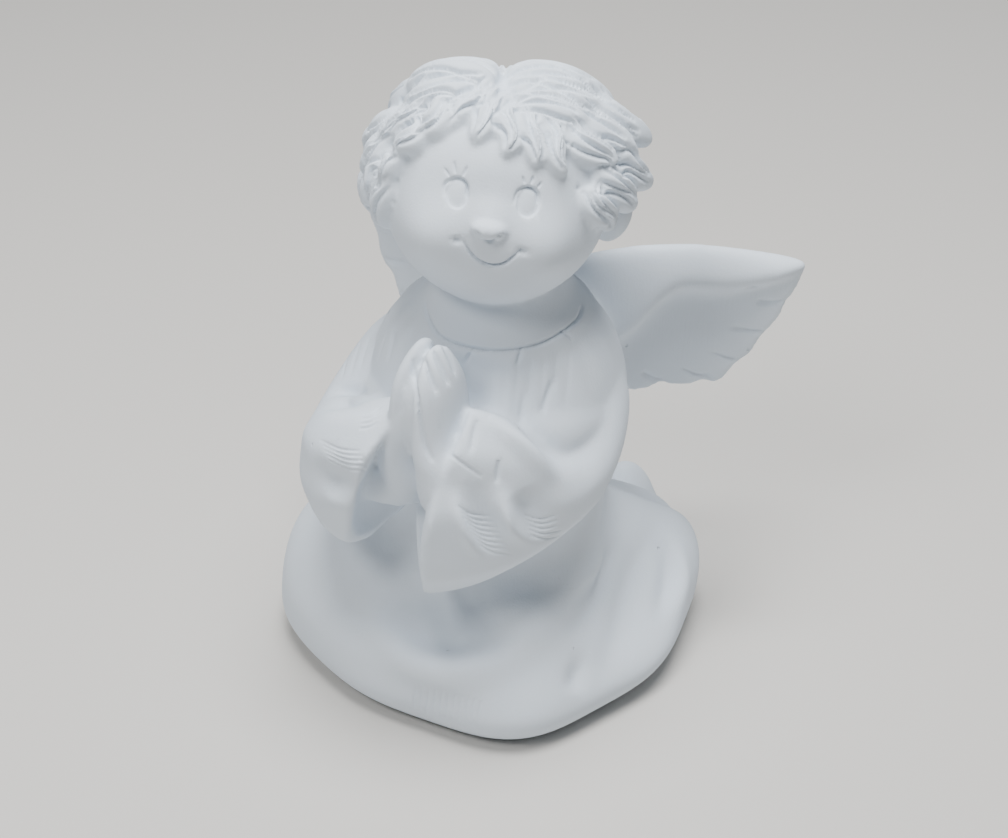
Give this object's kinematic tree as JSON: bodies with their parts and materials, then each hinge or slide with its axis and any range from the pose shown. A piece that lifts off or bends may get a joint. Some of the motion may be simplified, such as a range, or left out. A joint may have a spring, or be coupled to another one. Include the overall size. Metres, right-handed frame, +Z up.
{
  "type": "praying angel figurine",
  "caption": "Kneeling child angel at prayer with curly hair, wide bell sleeves, pooled robe and open wings, a small white plaster casting that stands on its flat underside.",
  "frame": {"origin": "on the flat underside, below the figure's collar", "axes": "+Z up, the body faces -Y and the figure's own left side is +X"},
  "size_m": [0.0706, 0.0657, 0.095],
  "materials": {
    "plaster": "unpainted matte plaster, faintly cool white"
  },
  "bodies": {
    "root": {"angel_figure": "plaster"}
  },
  "joints": []
}
